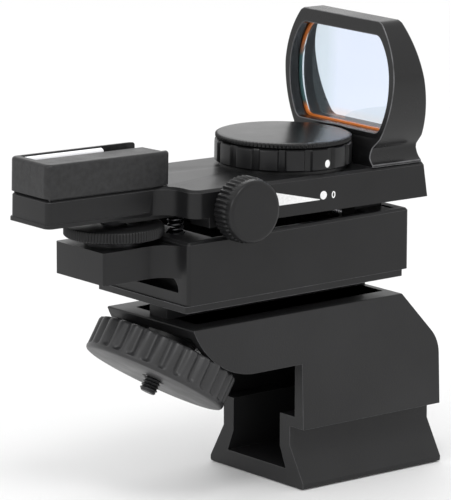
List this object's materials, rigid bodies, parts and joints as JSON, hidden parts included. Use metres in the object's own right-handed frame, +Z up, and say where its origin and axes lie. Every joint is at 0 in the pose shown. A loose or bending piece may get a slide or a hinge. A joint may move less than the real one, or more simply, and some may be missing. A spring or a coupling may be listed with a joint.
{
  "type": "red dot finder",
  "caption": "Telescope red dot finder: reflex lens hood, brightness dial and emitter box on a tilting carriage, over a dovetail foot with a side clamp knob and thumb wheels.",
  "frame": {"origin": "centre of the bottom face of the dovetail foot", "axes": "+X forward along the line of sight, +Y to the observer's left, +Z up"},
  "size_m": [0.1006, 0.0405, 0.0994],
  "materials": {
    "moulding": "fine satin texture",
    "anodised": "satin black anodised",
    "rubber_cover": "soft matte rubber coating",
    "knob_black": "moulded black, low gloss",
    "dark_steel": "black oxide",
    "spring_steel": "bright drawn wire",
    "brass": "turned",
    "lens_glass": "blue coated",
    "clear_window": "polished clear plastic",
    "seal_rubber": "matte",
    "led_red": "clear red epoxy",
    "board_green": "solder mask",
    "wire_red": "insulated lead",
    "cell_steel": "nickel plated"
  },
  "bodies": {
    "root": {"dovetail_foot": "moulding", "riser_rail": "anodised", "base_plate": "anodised", "bracket_block": "anodised", "rail_screws": "dark_steel", "block_screws": "dark_steel", "hinge_pin": "spring_steel", "return_springs": "spring_steel", "clamp_stud": "dark_steel", "wheel_washer": "dark_steel"},
    "clamp_slider": {"clamp_washer": "dark_steel"},
    "clamp": {"clamp_knob": "knob_black", "clamp_insert": "brass"},
    "elevation": {"elevation_wheel": "anodised", "wheel_clip": "dark_steel"},
    "carriage": {"tilt_carriage": "anodised", "elevation_screw": "dark_steel", "azimuth_pin": "spring_steel", "azimuth_post": "brass", "post_screws": "dark_steel"},
    "sight": {"sight_body": "anodised", "hood_screws": "dark_steel", "pivot_clip": "dark_steel", "emitter_cover": "rubber_cover", "cover_screws": "dark_steel", "emitter_window": "clear_window", "led_emitter": "led_red", "led_board": "board_green", "led_lead": "wire_red", "lens_hood": "anodised", "reflex_lens": "lens_glass", "lens_gasket": "seal_rubber", "azimuth_spacer": "dark_steel", "dial_base": "anodised"},
    "azimuth": {"azimuth_knob": "anodised", "azimuth_screw": "dark_steel", "azimuth_clip": "dark_steel"},
    "dial": {"brightness_dial": "anodised", "contact_disc": "brass", "coin_cell": "cell_steel"},
    "cap_slider": {"cap_seal": "seal_rubber"},
    "cap": {"cell_cap": "anodised"}
  },
  "joints": [
    {"name": "clamp_travel", "type": "slide", "parent": "root", "child": "clamp_slider", "axis": [-0.5299, 0, -0.848], "range_m": [0, 0.00215]},
    {"name": "clamp_turn", "type": "hinge", "parent": "clamp_slider", "child": "clamp", "pos_m": [-0.0484, 0, 0.0259], "axis": [-0.5299, 0, -0.848], "range_deg": [0, 1080]},
    {"name": "elevation_turn", "type": "hinge", "parent": "root", "child": "elevation", "pos_m": [-0.0588, 0, 0.06], "axis": [0, 0, 1], "range_deg": [-870, 460]},
    {"name": "sight_tilt", "type": "hinge", "parent": "root", "child": "carriage", "pos_m": [0.003, 0, 0.056], "axis": [0, 1, 0], "range_deg": [-0.96, 1.8], "deforming": ["return_springs"]},
    {"name": "azimuth_swing", "type": "hinge", "parent": "carriage", "child": "sight", "pos_m": [0.003, 0, 0.056], "axis": [0.0209, 0, 0.9998], "range_deg": [-1.25, 1.25]},
    {"name": "azimuth_turn", "type": "hinge", "parent": "sight", "child": "azimuth", "pos_m": [-0.03843, -0.0193, 0.06457], "axis": [0, 1, 0], "range_deg": [-448, 448]},
    {"name": "dial_turn", "type": "hinge", "parent": "sight", "child": "dial", "pos_m": [-0.0129, 0, 0.07034], "axis": [-0.0209, 0, -0.9998], "range_deg": [0, 270]},
    {"name": "cap_lift", "type": "slide", "parent": "dial", "child": "cap_slider", "axis": [0.0209, 0, 0.9998], "range_m": [0, 0.00155]},
    {"name": "cap_turn", "type": "hinge", "parent": "cap_slider", "child": "cap", "pos_m": [-0.0129, 0, 0.07034], "axis": [0.0209, 0, 0.9998], "range_deg": [0, 720]}
  ],
  "couplings": [
    {"joint": "clamp_travel", "follows": "clamp_turn", "m_per_rad": 0.00011141},
    {"joint": "sight_tilt", "follows": "elevation_turn", "ratio": -0.0020603},
    {"joint": "azimuth_swing", "follows": "azimuth_turn", "ratio": -0.0026781},
    {"joint": "cap_lift", "follows": "cap_turn", "m_per_rad": 0.00011937}
  ]
}
